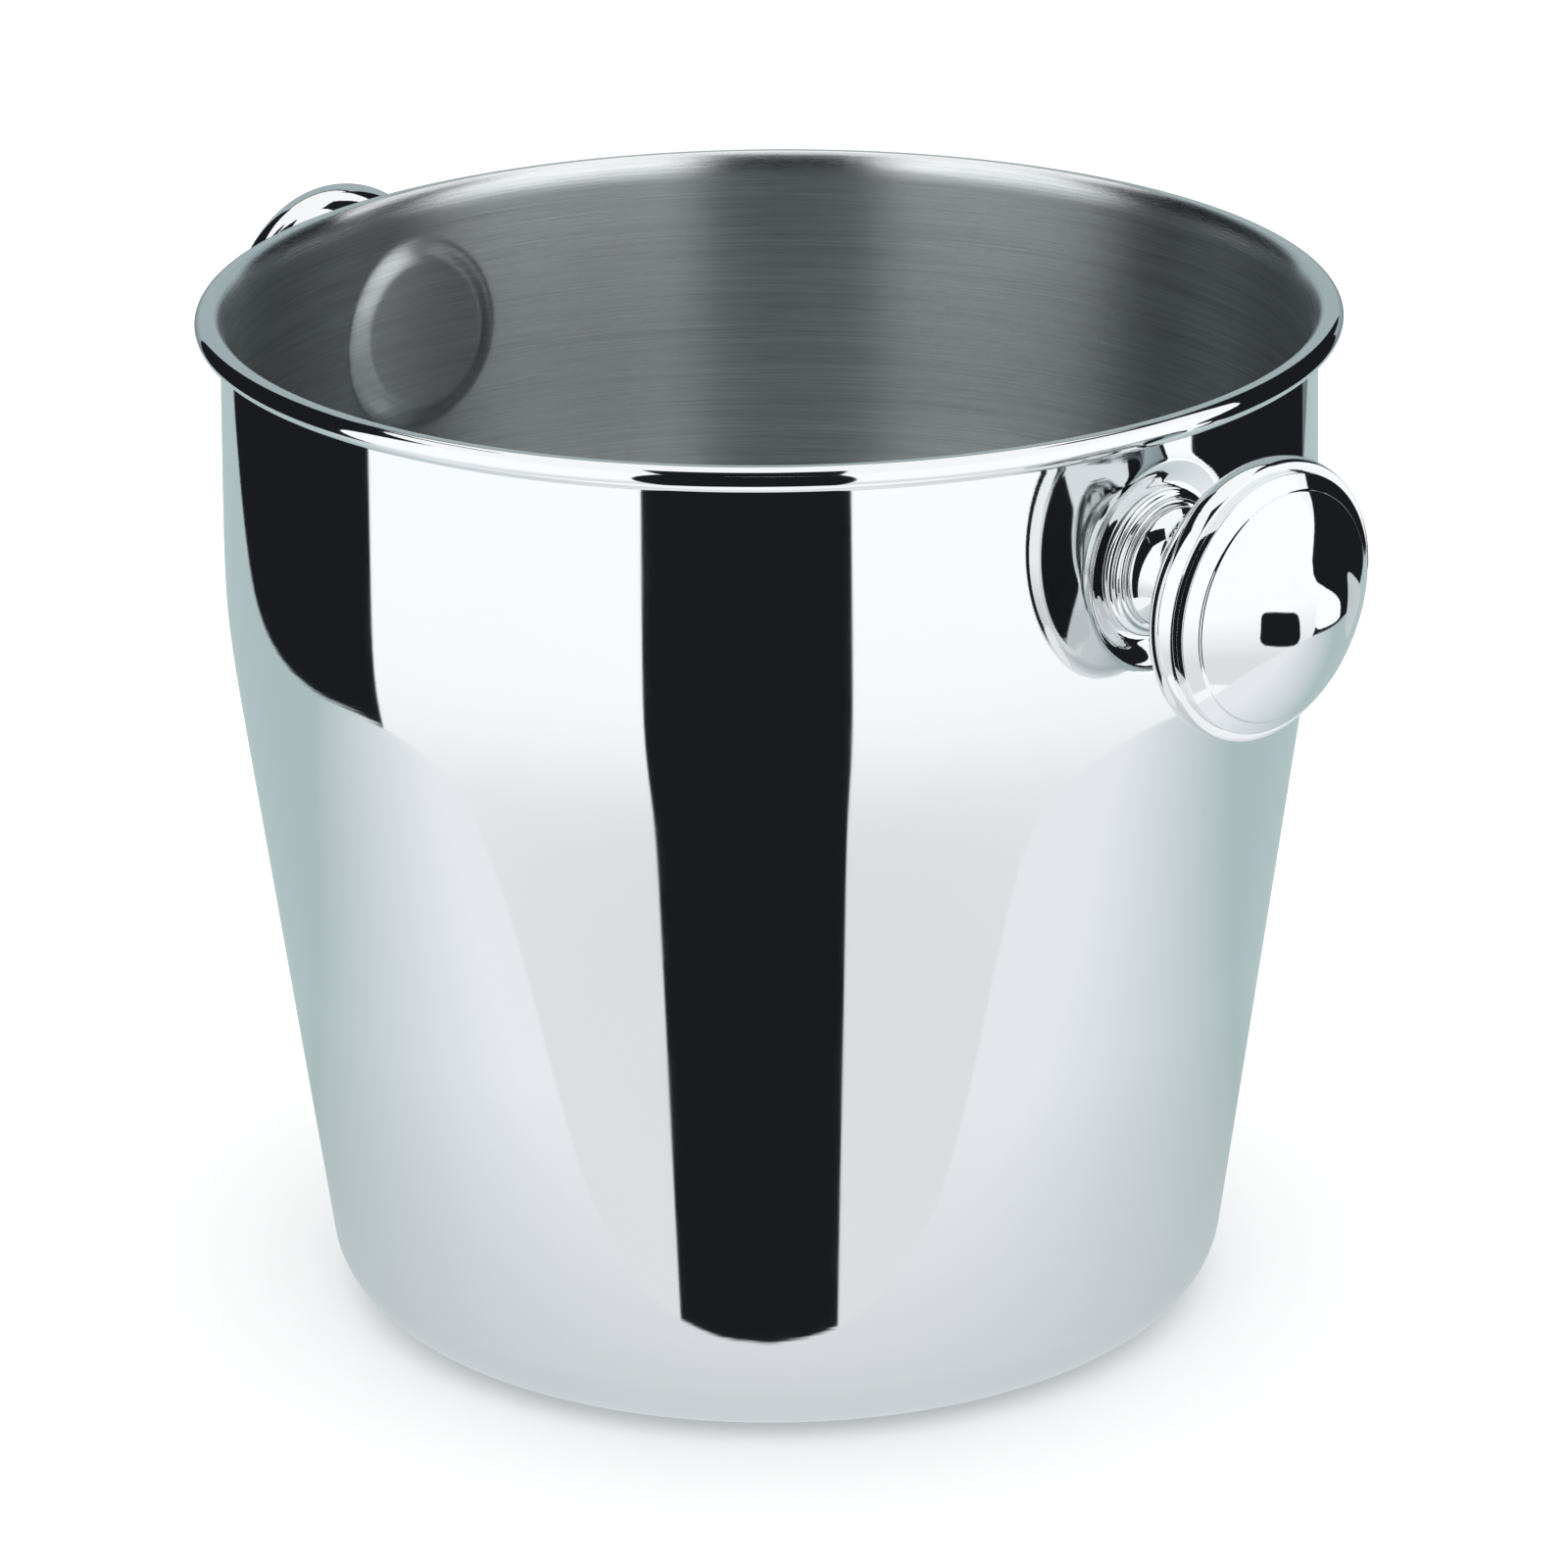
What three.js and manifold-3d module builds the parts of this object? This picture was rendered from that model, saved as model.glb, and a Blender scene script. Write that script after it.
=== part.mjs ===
// Champagne bucket: a drawn steel shell with a curled rim and two knob handles.
// Millimetres, +Z up. The origin is the centre of the underside, on the surface it stands on.
// The knobs lie along +X and -X.
import * as THREE from 'three';
import { mergeVertices } from 'three/addons/utils/BufferGeometryUtils.js';
import Module from 'manifold-3d';

const wasm = await Module();
wasm.setup();

// ---- Driving dimensions ----

const GAP = 0.3;                    // clearance between pieces that touch

// Bucket shell
const BUCKET_HEIGHT = 190;
const RIM_RADIUS = 104;             // outermost edge of the curled rim
const SHEET = 0.9;                  // thickness of the drawn sheet
const WALL_RADIUS = 99.4;           // outer face of the wall just under the rim
const UPPER_SLOPE = -0.016;         // change of radius per millimetre of height, upper wall
const LOWER_SLOPE = 0.135;          // the same, tapered lower wall
const BEND_HEIGHT = 133.8;          // height where the wall starts to taper
const BEND_SOFTNESS = 4.9;          // how gradually it does so
const CORNER_RADIUS = 13.2;         // outer radius between the wall and the base
const BASE_RECESS = 1.2;            // rise of the middle of the base
const RECESS_RADIUS = 56;           // the base rises inside this radius
const RECESS_STEP = 4;              // width of the slope up to it
const WALL_HEIGHTS = [118, 128, 134, 140, 150, 174];   // closer together across the bend
const SHELL_SEGMENTS = 56;

// Curled rim: the wall flares outwards over its last few millimetres and rolls over
const CURL_HALF_HEIGHT = 2.35;      // of the roll's elliptical section
const FLARE_HEIGHT = 5;             // height of the flare, on the inside
const CURL_END = -118;              // degrees, where the roll stops short of the wall

// Round seats pressed into the wall for the knobs
const KNOB_HEIGHT = 162.5;          // height of a seat's centre
const SEAT_FACE = 97.1;             // outer face of a seat, from the bucket's axis
const SEAT_RADIUS = 14;             // flat part of a seat
const SEAT_FLARE = 1.8;             // outward run of its sloping edge per millimetre of depth
const KNOB_DROOP = 2.5;             // degrees that a seat faces below the horizontal
const SEAT_SEGMENTS = 32;

// Knobs. Every X below is measured outwards from the seat's outer face.
const STUD_RADIUS = 3;
const STUD_FLANGE_RADIUS = 4.8;
const STUD_FLANGE = 1.2;
const STUD_END = 23.4;
const ROSETTE_RADIUS = 13.4;
const ROSETTE_BORE = 5.2;
const ROSETTE_LOWER_ARC = 70;       // degrees, where the wide ring's round edge meets the narrow one
const ROSETTE_UPPER_ARC = -45;
const COLLAR_RADIUS = 11.9;         // upper step of the rosette
const COLLAR_START = 2.1;
const NECK_START = 3.5;
const NECK_END = 15.9;
const NECK_FOOT_RADIUS = 10.8;
const NECK_WAIST_RADIUS = 8.4;
const NECK_TOP_RADIUS = 9.6;
const NECK_BORE = 3.4;
const NECK_FOOT_EDGE = 0.9;         // upright edge of the foot
const NECK_FOOT_POWER = 4;          // how fast the foot narrows to the waist
const NECK_TOP_POWER = 3;
const KNOB_START = NECK_END + GAP;
const KNOB_SHEET = 0.8;
const FLANGE_RADIUS = 25.3;         // widest part of the knob
const FLANGE_X = 25;
const FLANGE_ROUNDING = 5.35;       // round section of the flange
const BACK_SLOPE = -74;             // degrees on that section, where it meets the dished back
const STEP_X = 27.25;               // front edge of the flange, where it steps down to the ring
const SKIRT = 1.2;                  // depth of the front shell inside the flange
const RING_RADIUS = 23.2;           // ring between the flange and the dome
const RING_EDGE_X = 28.5;           // where the ring's upright side turns into its sloping face
const SHOULDER_X = 30.0;            // top of the ring's sloping face
const DOME_FOOT_RADIUS = 20.7;      // foot of the dome's short edge, at the top of that face
const DOME_RADIUS = 20.5;
const DOME_X = 30.4;                // where the dome leaves that edge
const DOME_HEIGHT = 6.1;
const NUT_FLATS = 10;
const NUT_THICKNESS = 5;
const KNOB_SEGMENTS = 28;
const STUD_SEGMENTS = 16;

// ---- Materials ----

function steel(name, color, roughness) {
  const material = new THREE.MeshStandardMaterial({ color, roughness, metalness: 1 });
  material.name = name;
  return material;
}

const polishedSteel = () => steel('polished_steel', 0xdfe4e6, 0.05);
const zincSteel = () => steel('zinc_steel', 0xb9bdc0, 0.4);

// ---- Outlines ----

const point = (radius, height) => new THREE.Vector2(radius, height);
const degrees = THREE.MathUtils.degToRad;
const degreesOf = THREE.MathUtils.radToDeg;

// Points along part of an ellipse. Angle 0 points away from the axis and 90 points up.
function arc(centreR, centreX, halfR, halfX, from, to, steps) {
  const points = [];
  for (let i = 0; i <= steps; i++) {
    const a = degrees(from + (to - from) * i / steps);
    points.push(point(centreR + halfR * Math.cos(a), centreX + halfX * Math.sin(a)));
  }
  return points;
}

// Outer radius of the wall: a nearly upright top that bends smoothly into the taper.
function wallRadius(z) {
  const change = LOWER_SLOPE - UPPER_SLOPE;
  const bend = (h) => BEND_SOFTNESS * Math.log(1 + Math.exp((BEND_HEIGHT - h) / BEND_SOFTNESS));
  const top = BUCKET_HEIGHT - 2 * CURL_HALF_HEIGHT;
  return WALL_RADIUS - UPPER_SLOPE * (top - z) - change * (bend(z) - bend(top));
}

// One face of the sheet from the axis up to the rim. Inset 0 is the outside, and the sheet's
// thickness is the inside.
function sheetFace(inset) {
  const taper = Math.atan(LOWER_SLOPE);
  const normalR = Math.cos(taper);
  const normalZ = -Math.sin(taper);
  // The corner's arc touches the floor and the tapered wall.
  const cornerTopZ = CORNER_RADIUS * (1 + normalZ);
  const cornerCentreR = wallRadius(cornerTopZ) - CORNER_RADIUS * normalR;
  const radius = CORNER_RADIUS - inset;
  const points = [
    point(0, BASE_RECESS + inset),
    point(RECESS_RADIUS - RECESS_STEP, BASE_RECESS + inset),
    point(RECESS_RADIUS, inset),
  ];
  points.push(...arc(cornerCentreR, CORNER_RADIUS, radius, radius, -90, -degreesOf(taper), 5));
  for (const z of WALL_HEIGHTS) {
    points.push(point(wallRadius(z) - inset, z));
  }
  return points;
}

// The sheet's outside face runs up through the flare into the hollow of the curl, round the cut
// edge, and back over the curl and down the inside of the flare.
function shellOutline() {
  const halfWidth = (RIM_RADIUS - WALL_RADIUS + SHEET) / 2;
  const hollowWidth = halfWidth - SHEET;
  const curlR = RIM_RADIUS - halfWidth;
  const curlZ = BUCKET_HEIGHT - CURL_HALF_HEIGHT;
  const flareZ = BUCKET_HEIGHT - FLARE_HEIGHT;
  return [
    ...sheetFace(0),
    ...arc(curlR, flareZ, hollowWidth, FLARE_HEIGHT - SHEET, 180, 90, 4),
    ...arc(curlR, curlZ, hollowWidth, CURL_HALF_HEIGHT - SHEET, 90, CURL_END, 5).slice(1),
    ...arc(curlR, curlZ, halfWidth, CURL_HALF_HEIGHT, CURL_END, 90, 8),
    ...arc(curlR, flareZ, halfWidth, FLARE_HEIGHT, 90, 180, 5).slice(1),
    ...sheetFace(SHEET).reverse(),
  ];
}

// ---- Solids ----

const REVOLVED_TO_Z = new THREE.Matrix4().makeRotationX(Math.PI / 2);
const REVOLVED_TO_X = new THREE.Matrix4().makeRotationZ(-Math.PI / 2);

function revolve(outline, segments, turn) {
  return new THREE.LatheGeometry(outline, segments).applyMatrix4(turn);
}

// A ring-shaped outline has to come back to its own first point.
function closed(outline) {
  return [...outline, outline[0].clone()];
}

function toSolid(geometry) {
  const plain = geometry.clone();
  plain.deleteAttribute('normal');
  plain.deleteAttribute('uv');
  const merged = mergeVertices(plain, 1e-4);
  const corners = merged.index.array;
  const triangles = [];
  for (let i = 0; i < corners.length; i += 3) {
    const [a, b, c] = corners.subarray(i, i + 3);
    if (a !== b && b !== c && c !== a) {
      triangles.push(a, b, c);
    }
  }
  const vertProperties = new Float32Array(merged.attributes.position.array);
  const triVerts = new Uint32Array(triangles);
  return new wasm.Manifold(new wasm.Mesh({ numProp: 3, vertProperties, triVerts }));
}

function toGeometry(solid) {
  const mesh = solid.getMesh();
  const geometry = new THREE.BufferGeometry();
  geometry.setAttribute('position', new THREE.BufferAttribute(mesh.vertProperties, 3));
  geometry.setIndex(new THREE.BufferAttribute(mesh.triVerts, 1));
  geometry.computeVertexNormals();
  return geometry;
}

// Frame of one seat: X points out of the bucket, from the middle of the seat's outer face.
function seatFrame(turn) {
  const aroundBucket = new THREE.Matrix4().makeRotationZ(turn);
  const place = new THREE.Matrix4().makeTranslation(SEAT_FACE, 0, KNOB_HEIGHT);
  const droop = new THREE.Matrix4().makeRotationY(degrees(KNOB_DROOP));
  return aroundBucket.multiply(place).multiply(droop);
}

// A cone frustum along a seat's X, wider on the outside.
function seatCone(radius, fromX, toX, frame) {
  const wide = radius + SEAT_FLARE * (toX - fromX);
  const outline = [point(0, fromX), point(radius, fromX), point(wide, toX), point(0, toX)];
  return toSolid(revolve(outline, SEAT_SEGMENTS, REVOLVED_TO_X).applyMatrix4(frame));
}

// The whole bucket filled in, used to keep the seats inside the wall's outer face.
function filledBucket() {
  const top = BUCKET_HEIGHT - CURL_HALF_HEIGHT;
  const outline = [...sheetFace(0), point(WALL_RADIUS, top), point(0, top)];
  return toSolid(revolve(outline, SHELL_SEGMENTS, REVOLVED_TO_Z));
}

function bucketShell(seatFrames) {
  const outerDepth = 4;
  const innerRadius = SEAT_RADIUS + SHEET * 0.5;
  let shell = toSolid(revolve(shellOutline(), SHELL_SEGMENTS, REVOLVED_TO_Z));
  const envelope = filledBucket();
  for (const frame of seatFrames) {
    const boss = seatCone(innerRadius, -SHEET, outerDepth - SHEET, frame).intersect(envelope);
    const recess = seatCone(SEAT_RADIUS, 0, outerDepth, frame);
    shell = shell.add(boss).subtract(recess);
  }
  return toGeometry(shell);
}

// Threaded stud, welded to the seat by its flange.
function weldStud() {
  const chamfer = 0.6;
  const flangeTop = GAP + STUD_FLANGE;
  return revolve([
    point(0, GAP),
    point(STUD_FLANGE_RADIUS, GAP),
    point(STUD_FLANGE_RADIUS, flangeTop),
    point(STUD_RADIUS, flangeTop),
    point(STUD_RADIUS, STUD_END - chamfer),
    point(STUD_RADIUS - chamfer, STUD_END),
    point(0, STUD_END),
  ], STUD_SEGMENTS, REVOLVED_TO_X);
}

// Stepped rosette: a wide rounded ring with a narrower one on it.
function rosette() {
  const top = NECK_START - GAP;
  const lowerHalf = (COLLAR_START - GAP) / 2;
  const upperHalf = (top - COLLAR_START) / 2;
  const lower = arc(
    ROSETTE_RADIUS - lowerHalf, GAP + lowerHalf, lowerHalf, lowerHalf, -90, ROSETTE_LOWER_ARC, 5,
  );
  const upper = arc(
    COLLAR_RADIUS - upperHalf, top - upperHalf, upperHalf, upperHalf, ROSETTE_UPPER_ARC, 90, 3,
  );
  const outline = [point(ROSETTE_BORE, GAP), ...lower, ...upper, point(ROSETTE_BORE, top)];
  return revolve(closed(outline), KNOB_SEGMENTS, REVOLVED_TO_X);
}

// Waisted neck, bored for the stud.
function neck() {
  const steps = 7;
  const start = NECK_START + NECK_FOOT_EDGE;
  const outline = [point(NECK_BORE, NECK_START), point(NECK_FOOT_RADIUS, NECK_START)];
  for (let i = 0; i <= steps; i++) {
    const t = i / steps;
    const foot = (NECK_FOOT_RADIUS - NECK_WAIST_RADIUS) * (1 - t) ** NECK_FOOT_POWER;
    const top = (NECK_TOP_RADIUS - NECK_WAIST_RADIUS) * t ** NECK_TOP_POWER;
    outline.push(point(NECK_WAIST_RADIUS + foot + top, start + (NECK_END - start) * t));
  }
  outline.push(point(NECK_BORE, NECK_END));
  return revolve(closed(outline), KNOB_SEGMENTS, REVOLVED_TO_X);
}

// Back half of the hollow knob: a dished shell with a hole for the stud and a rounded flange.
function knobBackFace(inset) {
  const rounding = FLANGE_ROUNDING - inset;
  const centreR = FLANGE_RADIUS - FLANGE_ROUNDING;
  const step = STEP_X - inset;
  const stepAngle = degreesOf(Math.asin((step - FLANGE_X) / rounding));
  return [
    point(NECK_BORE, KNOB_START + inset),
    point(NECK_TOP_RADIUS, KNOB_START + inset),
    ...arc(centreR, FLANGE_X, rounding, rounding, BACK_SLOPE, stepAngle, 8),
    point(RING_RADIUS + GAP, step),
  ];
}

function knobBack() {
  const outline = [...knobBackFace(0), ...knobBackFace(KNOB_SHEET).reverse()];
  return revolve(closed(outline), KNOB_SEGMENTS, REVOLVED_TO_X);
}

// Front half: a skirt inside the flange, the ring and its shoulder, and the dome.
function knobFrontFace(inset) {
  const domeR = (DOME_RADIUS ** 2 + DOME_HEIGHT ** 2) / (2 * DOME_HEIGHT);
  const centreX = DOME_X + DOME_HEIGHT - domeR;
  const edge = DOME_RADIUS - inset;
  const sphere = domeR - inset;
  const edgeAngle = degreesOf(Math.acos(edge / sphere));
  return [
    point(RING_RADIUS - inset, STEP_X - SKIRT),
    point(RING_RADIUS - inset, RING_EDGE_X - inset),
    point(DOME_FOOT_RADIUS - inset, SHOULDER_X - inset),
    ...arc(0, centreX, sphere, sphere, edgeAngle, 90, 6),
  ];
}

function knobFront() {
  const outline = [...knobFrontFace(KNOB_SHEET).reverse(), ...knobFrontFace(0)];
  return revolve(outline, KNOB_SEGMENTS, REVOLVED_TO_X);
}

// Hexagon nut fixed inside the back shell. Turning the knob tightens it on the stud.
function nut() {
  const sides = 6;
  const corner = NUT_FLATS / 2 / Math.cos(Math.PI / sides);
  const outline = new THREE.Shape();
  for (let i = 0; i < sides; i++) {
    const a = 2 * Math.PI * i / sides;
    const x = corner * Math.cos(a);
    const y = corner * Math.sin(a);
    if (i === 0) {
      outline.moveTo(x, y);
    } else {
      outline.lineTo(x, y);
    }
  }
  outline.closePath();
  outline.holes.push(new THREE.Path().absarc(0, 0, STUD_RADIUS + GAP, 0, 2 * Math.PI, true));
  const options = { depth: NUT_THICKNESS, bevelEnabled: false, curveSegments: STUD_SEGMENTS };
  const geometry = new THREE.ExtrudeGeometry(outline, options);
  geometry.rotateY(Math.PI / 2);
  geometry.translate(KNOB_START + KNOB_SHEET + GAP, 0, 0);
  return geometry;
}

// ---- Assembly ----

function piece(name, geometry, material) {
  const mesh = new THREE.Mesh(geometry, material);
  mesh.name = name;
  return mesh;
}

function knob(side, frame) {
  const group = new THREE.Group();
  group.applyMatrix4(frame);
  group.add(piece(`${side}_weld_stud`, weldStud(), zincSteel()));
  group.add(piece(`${side}_rosette`, rosette(), polishedSteel()));
  group.add(piece(`${side}_neck`, neck(), polishedSteel()));
  group.add(piece(`${side}_knob_back`, knobBack(), polishedSteel()));
  group.add(piece(`${side}_knob_nut`, nut(), zincSteel()));
  group.add(piece(`${side}_knob_front`, knobFront(), polishedSteel()));
  return group;
}

const rightSeat = seatFrame(0);
const leftSeat = seatFrame(Math.PI);

const bucket = new THREE.Group();
bucket.add(piece('bucket_shell', bucketShell([rightSeat, leftSeat]), polishedSteel()));
bucket.add(knob('right', rightSeat));
bucket.add(knob('left', leftSeat));

export default bucket;
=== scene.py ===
import math

import bpy
import numpy as np
from mathutils import Matrix, Vector


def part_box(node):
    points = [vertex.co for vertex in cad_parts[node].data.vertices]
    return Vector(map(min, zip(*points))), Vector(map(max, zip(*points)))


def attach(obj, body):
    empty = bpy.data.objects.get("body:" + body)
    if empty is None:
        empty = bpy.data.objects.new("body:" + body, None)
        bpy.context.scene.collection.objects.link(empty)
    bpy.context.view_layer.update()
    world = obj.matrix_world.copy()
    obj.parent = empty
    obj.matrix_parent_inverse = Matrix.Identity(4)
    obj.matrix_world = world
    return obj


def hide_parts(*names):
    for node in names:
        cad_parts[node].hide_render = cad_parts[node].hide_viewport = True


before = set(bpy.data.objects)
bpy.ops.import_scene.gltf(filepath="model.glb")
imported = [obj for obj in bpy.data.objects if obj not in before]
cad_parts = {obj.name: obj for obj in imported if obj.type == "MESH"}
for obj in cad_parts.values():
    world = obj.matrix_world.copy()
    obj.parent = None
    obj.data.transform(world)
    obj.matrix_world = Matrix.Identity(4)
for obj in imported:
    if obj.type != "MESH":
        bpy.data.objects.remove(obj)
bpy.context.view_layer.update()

MM = 0.001

# ---- Sizes that the CAD model holds, in millimetres ----

shell_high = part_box("bucket_shell")[1]
BUCKET_HEIGHT = shell_high[2] / MM
RIM_RADIUS = shell_high[0] / MM
SHEET = 0.9
WALL_RADIUS = 99.4
UPPER_SLOPE = -0.016
LOWER_SLOPE = 0.135
BEND_HEIGHT = 133.8
BEND_SOFTNESS = 4.9
CORNER_RADIUS = 13.2
BASE_RECESS = 1.2
RECESS_RADIUS = 56.0
RECESS_STEP = 4.0
CURL_HALF_HEIGHT = 2.35
CURL_END = -118.0
FLARE_HEIGHT = 5.0

KNOB_HEIGHT = 162.5
SEAT_FACE = 97.1
SEAT_RADIUS = 14.0
SEAT_EDGE = 19.0
KNOB_DROOP = 2.5

ROSETTE_RADIUS = 13.4
ROSETTE_BORE = 5.2
COLLAR_RADIUS = 11.9
COLLAR_START = 2.1
NECK_START = 3.5
NECK_END = 15.9
NECK_FOOT_RADIUS = 10.8
NECK_WAIST_RADIUS = 8.4
NECK_TOP_RADIUS = 9.6
NECK_BORE = 3.4
NECK_FOOT_EDGE = 0.9
NECK_FOOT_POWER = 4
NECK_TOP_POWER = 3
KNOB_SHEET = 0.8
FLANGE_RADIUS = 25.3
FLANGE_X = 25.0
FLANGE_ROUNDING = 5.35
BACK_SLOPE = -74.0
STEP_X = 27.25
SKIRT = 1.2
RING_RADIUS = 23.2
RING_EDGE_X = 28.5
SHOULDER_X = 30.0
DOME_FOOT_RADIUS = 20.7
DOME_RADIUS = 20.5
DOME_X = 30.4
DOME_HEIGHT = 6.1

# ---- Sizes that only the finer meshes have, in millimetres ----

BEND_ROWS = (112, 142)           # heights between which the rings of points lie closer together
SEAT_ROWS_TOP = 184              # the same for the pressed seats, up to here
BRUSHED_FROM = 104.0             # degrees over the curl, where the brushed finish starts
FINE_COLUMNS = 14                # degrees each side of a knob where the columns lie closer together
ROSETTE_LOWER_ARC = 72           # degrees, where the wide ring's round edge meets the narrow one
ROSETTE_UPPER_ARC = -50
FOOT_CHAMFER = (0.3, 0.25)       # inwards and along, on the edge of the neck's foot
DISH_ROUNDING = 4.0              # where the knob's dished back meets its neck and its flange
EDGE_ROUNDING = 0.25
DOME_ROUNDING = 0.15
CREASE = 0.01                    # distance of the points that keep the shading flat up to an edge
SEAM = 0.03                      # hairline between pieces that touch
ON_AXIS = 1e-6                   # a smaller radius than this is a point on the axis
SEAT_MARGIN = 2                  # rings this far beyond a seat's edge may still be pressed
LARGEST_CUT = 0.45               # share of a side that one rounded corner may take


# ---- Outlines: lists of (radius, height) in millimetres ----

def arc(centre_r, centre_h, half_r, half_h, start, end, steps):
    """Part of an ellipse. Angle 0 points away from the axis, and 90 points up."""
    angles = np.radians(np.linspace(start, end, steps + 1))
    return [(centre_r + half_r * math.cos(a), centre_h + half_h * math.sin(a)) for a in angles]


def rounded(points, radius, steps, support=0.0):
    """The same outline with each inner corner rounded. Support points beside a corner keep the
    shading of the straight parts flat."""
    out = [points[0]]
    for before, corner, after in zip(points, points[1:], points[2:]):
        corner = Vector(corner)
        to_before = Vector(before) - corner
        to_after = Vector(after) - corner
        cut = min(radius, to_before.length * LARGEST_CUT, to_after.length * LARGEST_CUT)
        start = corner + to_before.normalized() * cut
        end = corner + to_after.normalized() * cut
        if support:
            out.append(tuple(start + to_before.normalized() * support))
        for t in np.linspace(0, 1, steps + 1):
            out.append(tuple(start * (1 - t) ** 2 + corner * 2 * t * (1 - t) + end * t * t))
        if support:
            out.append(tuple(end + to_after.normalized() * support))
    out.append(points[-1])
    return out


def softplus(x):
    return x + math.log1p(math.exp(-x)) if x > 0 else math.log1p(math.exp(x))


def wall_radius(z):
    """Outer radius of the wall: a nearly upright top that bends smoothly into the taper."""
    top = BUCKET_HEIGHT - 2 * CURL_HALF_HEIGHT

    def bend(h):
        return BEND_SOFTNESS * softplus((BEND_HEIGHT - h) / BEND_SOFTNESS)

    change = LOWER_SLOPE - UPPER_SLOPE
    return WALL_RADIUS - UPPER_SLOPE * (top - z) - change * (bend(z) - bend(top))


def smooth(t):
    t = min(max(t, 0.0), 1.0)
    return t * t * (3 - 2 * t)


def sheet_face(inset):
    """One face of the sheet from the axis up to the rim. Inset 0 is the outside."""
    taper = math.atan(LOWER_SLOPE)
    corner_top = CORNER_RADIUS * (1 - math.sin(taper))
    centre_r = wall_radius(corner_top) - CORNER_RADIUS * math.cos(taper)
    step_start = RECESS_RADIUS - RECESS_STEP
    points = [(r, BASE_RECESS + inset) for r in np.linspace(0, step_start, 9)]
    for r in np.linspace(step_start, RECESS_RADIUS, 11)[1:]:
        rise = 1 - smooth((r - step_start) / RECESS_STEP)
        points.append((r, BASE_RECESS * rise + inset))
    points += [(r, inset) for r in np.linspace(RECESS_RADIUS, centre_r, 4)[1:-1]]
    radius = CORNER_RADIUS - inset
    points += arc(centre_r, CORNER_RADIUS, radius, radius, -90, -math.degrees(taper), 18)
    lower_wall = np.linspace(corner_top, BEND_ROWS[0], 15)[1:]
    bend = np.linspace(*BEND_ROWS, 21)[1:]
    seats = np.linspace(BEND_ROWS[1], SEAT_ROWS_TOP, 57)[1:]
    for z in [*lower_wall, *bend, *seats]:
        points.append((wall_radius(z) - inset, z))
    return points


def shell_outline():
    """(radius, height) from the underside's centre, round the curled rim, to the inner centre,
    each with the part of the sheet that it is on."""
    half_width = (RIM_RADIUS - WALL_RADIUS + SHEET) / 2
    hollow_width = half_width - SHEET
    curl_r = RIM_RADIUS - half_width
    curl_z = BUCKET_HEIGHT - CURL_HALF_HEIGHT
    flare_z = BUCKET_HEIGHT - FLARE_HEIGHT
    curl = arc(curl_r, flare_z, hollow_width, FLARE_HEIGHT - SHEET, 180, 90, 14)
    curl += arc(curl_r, curl_z, hollow_width, CURL_HALF_HEIGHT - SHEET, 90, CURL_END, 16)[1:]
    curl += arc(curl_r, curl_z, half_width, CURL_HALF_HEIGHT, CURL_END, 90, 36)
    curl += arc(curl_r, flare_z, half_width, FLARE_HEIGHT, 90, BRUSHED_FROM, 4)[1:-1]
    flare = arc(curl_r, flare_z, half_width, FLARE_HEIGHT, BRUSHED_FROM, 180, 24)
    rows = [(p, "outside") for p in sheet_face(0)]
    rows += [(p, "curl") for p in curl]
    rows += [(p, "flare") for p in flare]
    rows += [(p, "inside") for p in sheet_face(SHEET)[::-1]]
    return rows


# ---- Meshes ----

def new_piece(name, mesh):
    piece = bpy.data.objects.new(name, mesh)
    bpy.context.scene.collection.objects.link(piece)
    for polygon in mesh.polygons:
        polygon.use_smooth = True
    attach(piece, "root")
    return piece


def grid_mesh(name, rings, closed):
    """A skin over rings of points, and the ring that each face starts from. A ring of one point
    is a pole."""
    verts, faces, starts, owner = [], [], [], []
    for ring in rings:
        starts.append(len(verts))
        verts.extend(ring)
    pairs = list(zip(range(len(rings) - 1), range(1, len(rings))))
    if closed:
        pairs.append((len(rings) - 1, 0))
    for a, b in pairs:
        count = max(len(rings[a]), len(rings[b]))
        for i in range(count):
            j = (i + 1) % count
            if len(rings[a]) == 1:
                faces.append((starts[a], starts[b] + j, starts[b] + i))
            elif len(rings[b]) == 1:
                faces.append((starts[a] + i, starts[a] + j, starts[b]))
            else:
                faces.append((starts[a] + i, starts[a] + j, starts[b] + j, starts[b] + i))
            owner.append(a)
    mesh = bpy.data.meshes.new(name)
    mesh.from_pydata(verts, [], faces)
    mesh.update()
    return mesh, owner


def seat_matrix(turn):
    """Frame of one seat in millimetres: X points out of the bucket from its outer face."""
    place = Matrix.Translation((SEAT_FACE, 0, KNOB_HEIGHT))
    droop = Matrix.Rotation(math.radians(KNOB_DROOP), 4, "Y")
    return Matrix.Rotation(turn, 4, "Z") @ place @ droop


SEATS = {"right": seat_matrix(0), "left": seat_matrix(math.pi)}


def wall_columns():
    """Angles round the bucket, closer together across the two seats."""
    near = math.radians(FINE_COLUMNS)
    fine = np.linspace(-near, near, 71)[:-1]
    coarse = np.linspace(near, math.pi - near, 96)[:-1]
    return [*fine, *coarse, *(fine + math.pi), *(coarse + math.pi)]


def pressed(point, on_wall):
    """A point of the sheet, moved inwards where a seat is pressed into the wall."""
    for seat in SEATS.values():
        local = seat.inverted() @ on_wall
        from_centre = math.hypot(local.y, local.z)
        if local.x > -SEAT_FACE / 2 and from_centre < SEAT_EDGE:
            kept = smooth((from_centre - SEAT_RADIUS) / (SEAT_EDGE - SEAT_RADIUS))
            return point + seat.to_3x3() @ Vector((-local.x * (1 - kept), 0, 0))
    return point


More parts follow.
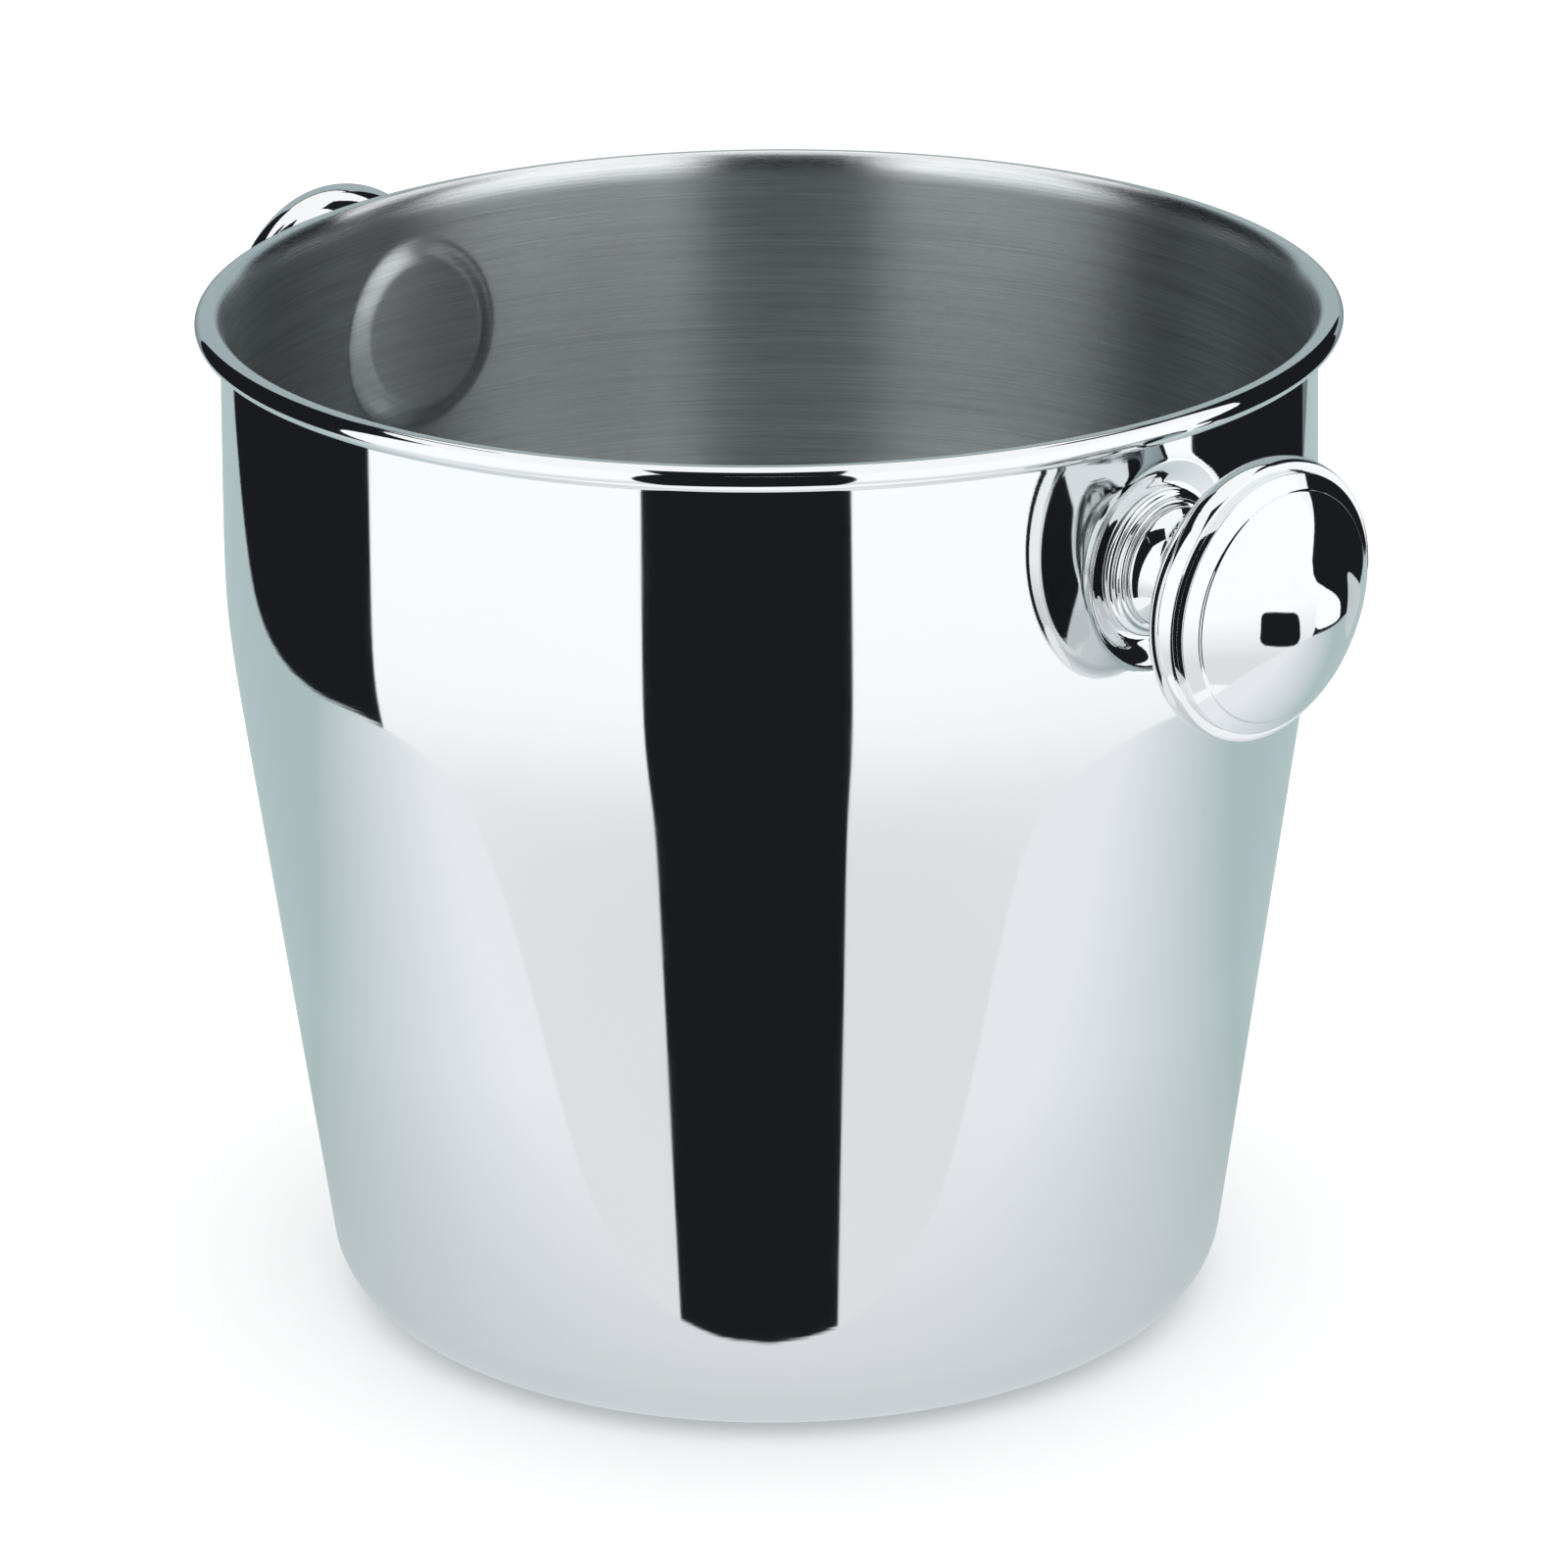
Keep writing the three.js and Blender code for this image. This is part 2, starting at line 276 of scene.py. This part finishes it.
def build_shell(outer_material, inner_material):
    columns = wall_columns()
    outline = shell_outline()
    rings = []
    for (radius, z), part in outline:
        if radius < ON_AXIS:
            rings.append([Vector((0, 0, z)) * MM])
            continue
        ring = [Vector((radius * math.cos(a), radius * math.sin(a), z)) for a in columns]
        if part in ("outside", "inside") and abs(z - KNOB_HEIGHT) < SEAT_EDGE + SEAT_MARGIN:
            outer = wall_radius(z)
            walls = [Vector((outer * math.cos(a), outer * math.sin(a), z)) for a in columns]
            ring = [pressed(point, on_wall) for point, on_wall in zip(ring, walls)]
        rings.append([point * MM for point in ring])
    mesh, owner = grid_mesh("bucket", rings, closed=False)
    mesh.materials.append(outer_material)
    mesh.materials.append(inner_material)
    for polygon, row in zip(mesh.polygons, owner):
        polygon.material_index = 1 if outline[row][1] in ("flare", "inside") else 0
    piece = new_piece("bucket", mesh)
    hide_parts("bucket_shell")


def revolved(name, outline, seat, closed, steps=160):
    """A piece of a knob, turned about the X axis of its seat."""
    angles = np.linspace(0, 2 * math.pi, steps, endpoint=False)
    rings = []
    for radius, x in outline:
        if radius < ON_AXIS:
            rings.append([seat @ Vector((x, 0, 0)) * MM])
            continue
        ring = [Vector((x, radius * math.cos(a), radius * math.sin(a))) for a in angles]
        rings.append([seat @ p * MM for p in ring])
    mesh, _ = grid_mesh(name, rings, closed)
    return new_piece(name, mesh)


def rosette_outline():
    low, top = SEAM, NECK_START - SEAM
    wide = (COLLAR_START - low) / 2
    narrow = (top - COLLAR_START) / 2
    lower = arc(ROSETTE_RADIUS - wide, low + wide, wide, wide, -90, ROSETTE_LOWER_ARC, 18)
    upper = arc(COLLAR_RADIUS - narrow, top - narrow, narrow, narrow, ROSETTE_UPPER_ARC, 90, 14)
    return [(ROSETTE_BORE, low), *lower, *upper, (ROSETTE_BORE, top)]


def neck_outline():
    start = NECK_START + NECK_FOOT_EDGE
    outline = [(NECK_BORE, NECK_START), (NECK_FOOT_RADIUS - FOOT_CHAMFER[0], NECK_START)]
    outline.append((NECK_FOOT_RADIUS, NECK_START + FOOT_CHAMFER[1]))
    for t in np.linspace(0, 1, 40):
        foot = (NECK_FOOT_RADIUS - NECK_WAIST_RADIUS) * (1 - t) ** NECK_FOOT_POWER
        top = (NECK_TOP_RADIUS - NECK_WAIST_RADIUS) * t ** NECK_TOP_POWER
        outline.append((NECK_WAIST_RADIUS + foot + top, start + (NECK_END - start) * t))
    outline.append((NECK_BORE, NECK_END))
    return outline


def knob_back_face(inset):
    rounding = FLANGE_ROUNDING - inset
    start = NECK_END + SEAM + inset
    step = STEP_X - inset
    step_angle = math.degrees(math.asin((step - FLANGE_X) / rounding))
    centre_r = FLANGE_RADIUS - FLANGE_ROUNDING
    flange = arc(centre_r, FLANGE_X, rounding, rounding, BACK_SLOPE, step_angle, 60)
    neck_end = [(NECK_BORE, start), (NECK_TOP_RADIUS, start)]
    dish = rounded([*neck_end, flange[0], flange[1]], DISH_ROUNDING, 12)
    hole = RING_RADIUS + SEAM
    edge = rounded([flange[-2], flange[-1], (hole, step)], EDGE_ROUNDING, 4)
    return dish[:-1] + flange[1:-2] + edge[:-1] + [(hole + CREASE, step), (hole, step)]


def knob_front_face(inset):
    sphere_r = (DOME_RADIUS ** 2 + DOME_HEIGHT ** 2) / (2 * DOME_HEIGHT)
    centre_x = DOME_X + DOME_HEIGHT - sphere_r
    sphere = sphere_r - inset
    edge_angle = math.degrees(math.acos((DOME_RADIUS - inset) / sphere))
    dome = arc(0, centre_x, sphere, sphere, edge_angle, 90, 60)
    dome[-1] = (0.0, centre_x + sphere)
    rim = STEP_X - SKIRT
    side_start = (RING_RADIUS - inset, rim)
    side = (RING_RADIUS - inset, rim + CREASE)
    face_edge = (RING_RADIUS - inset, RING_EDGE_X - inset)
    dome_foot = (DOME_FOOT_RADIUS - inset, SHOULDER_X - inset)
    corners = [side, face_edge, dome_foot, dome[0], dome[1]]
    return [side_start] + rounded(corners, DOME_ROUNDING, 6, CREASE)[:-1] + dome[1:]


# ---- Materials ----

def node(tree, kind, **settings):
    made = tree.nodes.new(kind)
    for key, value in settings.items():
        setattr(made, key, value)
    return made


def fill(tree, socket, value):
    """Link a socket to another one, or give it a number or a colour."""
    if isinstance(value, bpy.types.NodeSocket):
        tree.links.new(value, socket)
    elif isinstance(value, tuple):
        socket.default_value = (*value, 1)
    else:
        socket.default_value = value


def math_node(tree, operation, *values):
    made = node(tree, "ShaderNodeMath", operation=operation)
    for socket, value in zip(made.inputs, values):
        fill(tree, socket, value)
    return made.outputs[0]


def noise(tree, vector, scale, detail=2.0, rough=0.5):
    made = node(tree, "ShaderNodeTexNoise")
    made.inputs["Scale"].default_value = scale
    made.inputs["Detail"].default_value = detail
    made.inputs["Roughness"].default_value = rough
    fill(tree, made.inputs["Vector"], vector)
    return made.outputs["Fac"]


def remap(tree, value, low, high, to_low, to_high):
    made = node(tree, "ShaderNodeMapRange")
    names = ("Value", "From Min", "From Max", "To Min", "To Max")
    for name, content in zip(names, (value, low, high, to_low, to_high)):
        fill(tree, made.inputs[name], content)
    return made.outputs["Result"]


def mix_colour(tree, factor, a, b):
    made = node(tree, "ShaderNodeMix", data_type="RGBA")
    factor_socket, a_socket, b_socket = made.inputs[0], made.inputs[6], made.inputs[7]
    fill(tree, factor_socket, factor)
    fill(tree, a_socket, a)
    fill(tree, b_socket, b)
    return made.outputs[2]


def metal(name):
    material = bpy.data.materials.new(name)
    material.use_nodes = True
    tree = material.node_tree
    shader = tree.nodes["Principled BSDF"]
    shader.inputs["Metallic"].default_value = 1.0
    return material, tree, shader


def object_point(tree):
    return node(tree, "ShaderNodeTexCoord").outputs["Object"]


def separated(tree, vector):
    split = node(tree, "ShaderNodeSeparateXYZ")
    fill(tree, split.inputs[0], vector)
    return split.outputs


RADIUS_SHARE = 0.6                # of the radius is added to the height, for hoops on flat faces


def round_the_axis(tree, around, along):
    """The object's coordinates with their distance from its axis taken out, so that a noise made
    from them runs in hoops."""
    x, y, z = separated(tree, object_point(tree))
    squares = [math_node(tree, "MULTIPLY", side, side) for side in (x, y)]
    radius = math_node(tree, "SQRT", math_node(tree, "ADD", *squares))
    join = node(tree, "ShaderNodeCombineXYZ")
    for socket, side in zip(join.inputs, (x, y)):
        direction = math_node(tree, "DIVIDE", side, radius)
        fill(tree, socket, math_node(tree, "MULTIPLY", direction, around))
    depth = math_node(tree, "ADD", z, math_node(tree, "MULTIPLY", radius, RADIUS_SHARE))
    fill(tree, join.inputs[2], math_node(tree, "MULTIPLY", depth, along))
    return join.outputs[0]


def bump(tree, height, strength, distance, before=None):
    made = node(tree, "ShaderNodeBump")
    made.inputs["Strength"].default_value = strength
    made.inputs["Distance"].default_value = distance
    fill(tree, made.inputs["Height"], height)
    if before is not None:
        fill(tree, made.inputs["Normal"], before)
    return made.outputs["Normal"]


NOISE_LOW, NOISE_HIGH = 0.3, 0.7          # the range that most of a noise lies in


def mirror_steel(name, waviness):
    """Buffed steel: a mirror with a slow ripple, faint polishing lines and slight haze."""
    material, tree, shader = metal(name)
    point = object_point(tree)
    haze = noise(tree, point, 38.0, 4.0, 0.6)
    rough = remap(tree, haze, NOISE_LOW, NOISE_HIGH, 0.022, 0.05)
    fill(tree, shader.inputs["Roughness"], rough)
    tint = noise(tree, point, 14.0)
    colour = mix_colour(tree, tint, (0.80, 0.82, 0.825), (0.85, 0.862, 0.868))
    fill(tree, shader.inputs["Base Color"], colour)
    ripple = bump(tree, noise(tree, point, 9.0, 1.0), waviness, 0.004)
    hairs = noise(tree, round_the_axis(tree, 1.2, 900.0), 2.0, 3.0, 0.7)
    fill(tree, shader.inputs["Normal"], bump(tree, hairs, 0.012, 0.0003, ripple))
    return material


BUFFED_LOW, BUFFED_HIGH = 0.006, 0.001    # metres below the crest, over which the lines fade


def brushed_steel(name):
    """The inside: lines brushed round the bucket, with darker and lighter passes, that give way
    to a buffed rim."""
    material, tree, shader = metal(name)
    fine = noise(tree, round_the_axis(tree, 3.0, 2600.0), 1.0, 4.0, 0.65)
    broad = noise(tree, round_the_axis(tree, 1.6, 420.0), 1.0, 3.0, 0.6)
    lines = math_node(tree, "ADD", math_node(tree, "MULTIPLY", fine, 0.6),
                      math_node(tree, "MULTIPLY", broad, 0.4))
    height = separated(tree, object_point(tree))[2]
    crest = BUCKET_HEIGHT * MM
    buffed = remap(tree, height, crest - BUFFED_LOW, crest - BUFFED_HIGH, 0.0, 1.0)
    dark = mix_colour(tree, buffed, (0.44, 0.465, 0.47), (0.74, 0.76, 0.765))
    light = mix_colour(tree, buffed, (0.80, 0.83, 0.83), (0.88, 0.90, 0.90))
    passes = remap(tree, lines, NOISE_LOW, NOISE_HIGH, 0.0, 1.0)
    fill(tree, shader.inputs["Base Color"], mix_colour(tree, passes, dark, light))
    rough = remap(tree, lines, NOISE_LOW, NOISE_HIGH, 0.38, 0.26)
    smoother = remap(tree, buffed, 0.0, 1.0, 1.0, 0.8)
    fill(tree, shader.inputs["Roughness"], math_node(tree, "MULTIPLY", rough, smoother))
    shader.inputs["Anisotropic"].default_value = 0.96
    shader.inputs["Anisotropic Rotation"].default_value = 0.25
    tangent = node(tree, "ShaderNodeTangent", direction_type="RADIAL", axis="Z")
    fill(tree, shader.inputs["Tangent"], tangent.outputs[0])
    fill(tree, shader.inputs["Normal"], bump(tree, lines, 0.16, 0.0004))
    return material


def plain_steel(name):
    """Turned, unpolished steel of the hidden fixings."""
    material, tree, shader = metal(name)
    grain = noise(tree, object_point(tree), 900.0, 3.0, 0.6)
    colour = mix_colour(tree, grain, (0.50, 0.51, 0.53), (0.68, 0.69, 0.71))
    fill(tree, shader.inputs["Base Color"], colour)
    rough = remap(tree, grain, NOISE_LOW, NOISE_HIGH, 0.28, 0.45)
    fill(tree, shader.inputs["Roughness"], rough)
    fill(tree, shader.inputs["Normal"], bump(tree, grain, 0.2, 0.0004))
    return material


# ---- The object ----

polished = mirror_steel("polished_steel", 0.05)
knob_polish = mirror_steel("polished_knob_steel", 0.02)
brushed = brushed_steel("brushed_steel")
fixing = plain_steel("fixing_steel")

build_shell(polished, brushed)

# Each outline, and whether its last ring joins its first. The front starts and ends on the axis.
KNOB_PIECES = {
    "rosette": (rosette_outline(), True),
    "neck": (neck_outline(), True),
    "knob_back": (knob_back_face(0) + knob_back_face(KNOB_SHEET)[::-1], True),
    "knob_front": (knob_front_face(KNOB_SHEET)[::-1] + knob_front_face(0), False),
}
for side, seat in SEATS.items():
    for part, (outline, closed) in KNOB_PIECES.items():
        piece = revolved(f"{side}_{part}_fine", outline, seat, closed)
        piece.data.materials.append(knob_polish)
        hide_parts(f"{side}_{part}")
    for part in ("weld_stud", "knob_nut"):
        fixing_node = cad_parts[f"{side}_{part}"]
        if fixing_node.material_slots:
            fixing_node.material_slots[0].material = fixing
        else:
            fixing_node.data.materials.append(fixing)


# ---- Camera ----

CAMERA_AZIMUTH = math.radians(46.7)       # 0 looks along +Y, and 90 has the camera at +X
CAMERA_DISTANCE = 1.2728                  # level distance from the bucket's axis
CAMERA_HEIGHT = 0.5621
CAMERA_PITCH = math.radians(20.117)       # down from the horizontal
CAMERA_YAW = math.radians(0.09)
CAMERA_ROLL = math.radians(-0.479)
CAMERA_LENS = 167.7
SENSOR = 36.0
FARTHEST_SEEN = 100

camera_data = bpy.data.cameras.new("camera")
camera_data.lens = CAMERA_LENS
camera_data.sensor_width = SENSOR
camera_data.clip_end = FARTHEST_SEEN
camera = bpy.data.objects.new("camera", camera_data)
bpy.context.scene.collection.objects.link(camera)
place = Vector((math.sin(CAMERA_AZIMUTH), -math.cos(CAMERA_AZIMUTH), 0)) * CAMERA_DISTANCE
place.z = CAMERA_HEIGHT
turn = Matrix.Rotation(CAMERA_AZIMUTH - CAMERA_YAW, 4, "Z")
tilt = Matrix.Rotation(math.pi / 2 - CAMERA_PITCH, 4, "X")
roll = Matrix.Rotation(CAMERA_ROLL, 4, "Z")
camera.matrix_world = Matrix.Translation(place) @ turn @ tilt @ roll
bpy.context.scene.camera = camera


# ---- Studio. Its own frame has the camera at -Y: the whole set is turned to the camera ----

STUDIO = Matrix.Rotation(CAMERA_AZIMUTH, 4, "Z")
ROOM_RADIUS = 2.6                         # of the ring of cards round the bucket, in metres
FRONT_RADIUS = 2.55                       # of a card that stands in front of another
ROOM_LOW = -50.0                          # elevation of the cards' lower edge, in degrees
SOFTBOX_TOP = 48
CARD_SOFTNESS = 0.25                      # share of a side that a small card's soft corner takes
TABLE_Z = -0.0005                         # the reflected table is just below the floor
FLOOR_Z = -0.0002
FLOOR_HALF = 30.0


def emission(name, colour):
    """A plain light of one colour."""
    material = bpy.data.materials.new(name)
    material.use_nodes = True
    tree = material.node_tree
    tree.nodes.clear()
    light = node(tree, "ShaderNodeEmission")
    fill(tree, light.inputs["Color"], colour)
    output = node(tree, "ShaderNodeOutputMaterial")
    fill(tree, output.inputs["Surface"], light.outputs[0])
    return material, tree, light


def softbox(name, colour, low, low_strength, high, high_strength):
    """A light that grows weaker towards the floor, between two heights in metres."""
    material, tree, light = emission(name, colour)
    height = separated(tree, object_point(tree))[2]
    strength = remap(tree, height, low, high, low_strength, high_strength)
    fill(tree, light.inputs["Strength"], strength)
    return material


def table_light(name):
    """The lit table, painted as light: bright at the front, greyer behind, and darker close round
    the bucket's foot in a painted shadow.
    """
    material, tree, light = emission(name, (1, 1, 1))
    point = object_point(tree)
    # Painted light: the glowing sheet is bright at the front and greyer towards the back.
    behind = remap(tree, separated(tree, point)[1], -0.12, 0.07, 0.0, 1.0)
    colour = mix_colour(tree, behind, (0.94, 0.955, 0.99), (0.48, 0.585, 0.592))
    fill(tree, light.inputs["Color"], colour)
    # Painted shadow: the table's light is weaker close round the bucket's foot, where the bucket
    # shades it.
    distance = node(tree, "ShaderNodeVectorMath", operation="LENGTH")
    fill(tree, distance.inputs[0], point)
    strength = remap(tree, distance.outputs["Value"], 0.09, 0.18, 0.84, 1.0)
    fill(tree, light.inputs["Strength"], strength)
    return material


def reflected_only(name, verts, faces, material):
    """A studio card that only shows in reflections."""
    mesh = bpy.data.meshes.new(name)
    mesh.from_pydata(verts, [], faces)
    mesh.materials.append(material)
    card = bpy.data.objects.new(name, mesh)
    card.matrix_world = STUDIO
    bpy.context.scene.collection.objects.link(card)
    card.visible_camera = False
    card.visible_diffuse = False
    card.visible_shadow = False
    card.visible_transmission = False


def curved_card(name, edges, material, radius=ROOM_RADIUS):
    """A card bent round the bucket. Its edges are a list of (azimuth, low, high) in degrees,
    where azimuth 0 faces the camera and 90 is to its right."""
    turns, lows, highs = zip(*edges)
    columns = max(2, round((turns[-1] - turns[0]) / 2) + 1)
    verts, faces = [], []
    for turn in np.linspace(turns[0], turns[-1], columns):
        a = math.radians(turn)
        x, y = radius * math.sin(a), -radius * math.cos(a)
        for heights in (lows, highs):
            elevation = math.radians(float(np.interp(turn, turns, heights)))
            verts.append((x, y, BUCKET_HEIGHT * MM + radius * math.tan(elevation)))
    for i in range(columns - 1):
        faces.append((2 * i, 2 * i + 2, 2 * i + 3, 2 * i + 1))
    reflected_only(name, verts, faces, material)


def upright_card(name, start, end, top, material):
    """A curved card with a level top, from one azimuth to another."""
    curved_card(name, [(start, ROOM_LOW, top), (end, ROOM_LOW, top)], material)


def flat_card(name, corners, material):
    reflected_only(name, corners, [tuple(range(len(corners)))], material)


def small_card(name, corners, material):
    """A card a few centimetres from the right knob, with softened corners, in millimetres."""
    corners = [Vector(corner) * MM for corner in corners]
    points = []
    for i, corner in enumerate(corners):
        before = corner.lerp(corners[i - 1], CARD_SOFTNESS)
        after = corner.lerp(corners[(i + 1) % len(corners)], CARD_SOFTNESS)
        for t in np.linspace(0, 1, 5):
            points.append(before.lerp(corner, t).lerp(corner.lerp(after, t), t))
    flat_card(name, points, material)


black_card = emission("black_card", (0.012, 0.013, 0.016))[0]
grey_card = emission("grey_card", (0.62, 0.66, 0.68))[0]
back_card = softbox("back_card", (0.40, 0.48, 0.50), -0.5, 0.42, 0.5, 1.0)
white_card = softbox("white_card", (0.97, 0.985, 1.0), -1.7, 0.88, -0.5, 1.19)

upright_card("front_slit", -26, 16, 45, black_card)
upright_card("right_softbox", 16, 98, SOFTBOX_TOP, white_card)
curved_card("right_flag", [(89, -7, -2), (92, -11, 3), (97, -17, 8), (98, ROOM_LOW, 9),
                           (103, ROOM_LOW, 14), (112, ROOM_LOW, 28), (125, ROOM_LOW, 40),
                           (146, ROOM_LOW, 50)], black_card, FRONT_RADIUS)
upright_card("back_sheet", 146, 212, 43, back_card)
curved_card("back_gap", [(146, 42.9, 46), (212, 42.9, 46)], black_card)
curved_card("left_flag", [(212, ROOM_LOW, 50), (270.5, ROOM_LOW, SOFTBOX_TOP)], black_card)
upright_card("left_softbox", 270.5, 334, SOFTBOX_TOP, white_card)

# A strip overhead, wider towards the camera
flat_card("overhead_slit", [(-1.14, -2.55, 2.79), (0.72, -2.55, 2.79), (0.4, -0.45, 2.79),
                            (-0.7, -0.45, 2.79)], black_card)
# Cards above the rim on each side: the name, how far to the side, and where the far edge is
for name, x, far in (("inner_right_flag", 0.16, 0.12), ("inner_left_flag", -0.16, 0.07)):
    near, low, high = 0.033, 0.2, 0.5
    flat_card(name, [(x, near, low), (x, far, low), (x, far, high), (x, near, high)], black_card)

small_card("small_flag", [(147, -146, 144), (164, -110, 137), (157, -96, 114), (142, -137, 117)],
           black_card)
small_card("small_softbox", [(161, -94, 156), (161, -82, 149), (158, -67, 142), (154, -59, 137),
                             (150, -55, 129), (153, -86, 126)], white_card)
small_card("small_grey_card", [(156, -53, 151), (130, -30, 139), (127, -35, 124), (144, -44, 125)],
           grey_card)

LEFT_CORNER = (-0.22, 0.02, 0.17)         # x, y and radius of the table's front corners
RIGHT_CORNER = (0.20, -0.003, 0.175)
FRONT_BOW = 0.054                         # how far the table's front edge bows in at its middle
BOW_HALF_WIDTH = 0.2
TABLE_BACK = [(0.375, 0.75), (-0.39, 0.75)]


def table_outline():
    """Rounded front corners, and a front edge that bows in towards its middle."""
    x, y, radius = LEFT_CORNER
    left = arc(x, y, radius, radius, 180, 270, 16)
    x, y, radius = RIGHT_CORNER
    right = arc(x, y, radius, radius, 270, 360, 16)
    front = []
    for t in np.linspace(0, 1, 26)[1:-1]:
        x = left[-1][0] * (1 - t) + right[0][0] * t
        straight = left[-1][1] * (1 - t) + right[0][1] * t
        fade = math.cos(math.pi / 2 * min(abs(x) / BOW_HALF_WIDTH, 1)) ** 2
        front.append((x, straight + FRONT_BOW * fade))
    return [*left, *front, *right, *TABLE_BACK]


flat_card("table_sheet", [(x, y, TABLE_Z) for x, y in table_outline()], table_light("table_light"))

floor_mesh = bpy.data.meshes.new("floor")
floor_corners = [(x * FLOOR_HALF, y * FLOOR_HALF, FLOOR_Z)
                 for x, y in ((-1, -1), (1, -1), (1, 1), (-1, 1))]
floor_mesh.from_pydata(floor_corners, [], [(0, 1, 2, 3)])
floor = bpy.data.objects.new("floor", floor_mesh)
bpy.context.scene.collection.objects.link(floor)
floor_paint = bpy.data.materials.new("floor_paint")
floor_paint.use_nodes = True
floor_shader = floor_paint.node_tree.nodes["Principled BSDF"]
floor_shader.inputs["Base Color"].default_value = (0.985, 0.988, 0.99, 1)
floor_shader.inputs["Roughness"].default_value = 0.9
floor_mesh.materials.append(floor_paint)
floor.visible_glossy = False              # the bucket mirrors the table sheet instead

soft_light = bpy.data.lights.new("soft_light", "SUN")
soft_light.energy = 0.7
soft_light.angle = math.radians(150)      # very wide, so that its shadow is soft
lamp = bpy.data.objects.new("soft_light", soft_light)
bpy.context.scene.collection.objects.link(lamp)
lamp.visible_glossy = False

world = bpy.data.worlds.new("studio_air")
world.use_nodes = True
sky = world.node_tree.nodes["Background"]
sky.inputs["Color"].default_value = (1.0, 1.0, 1.0, 1)
sky.inputs["Strength"].default_value = 1.1
bpy.context.scene.world = world
bpy.context.scene.view_settings.view_transform = "Standard"
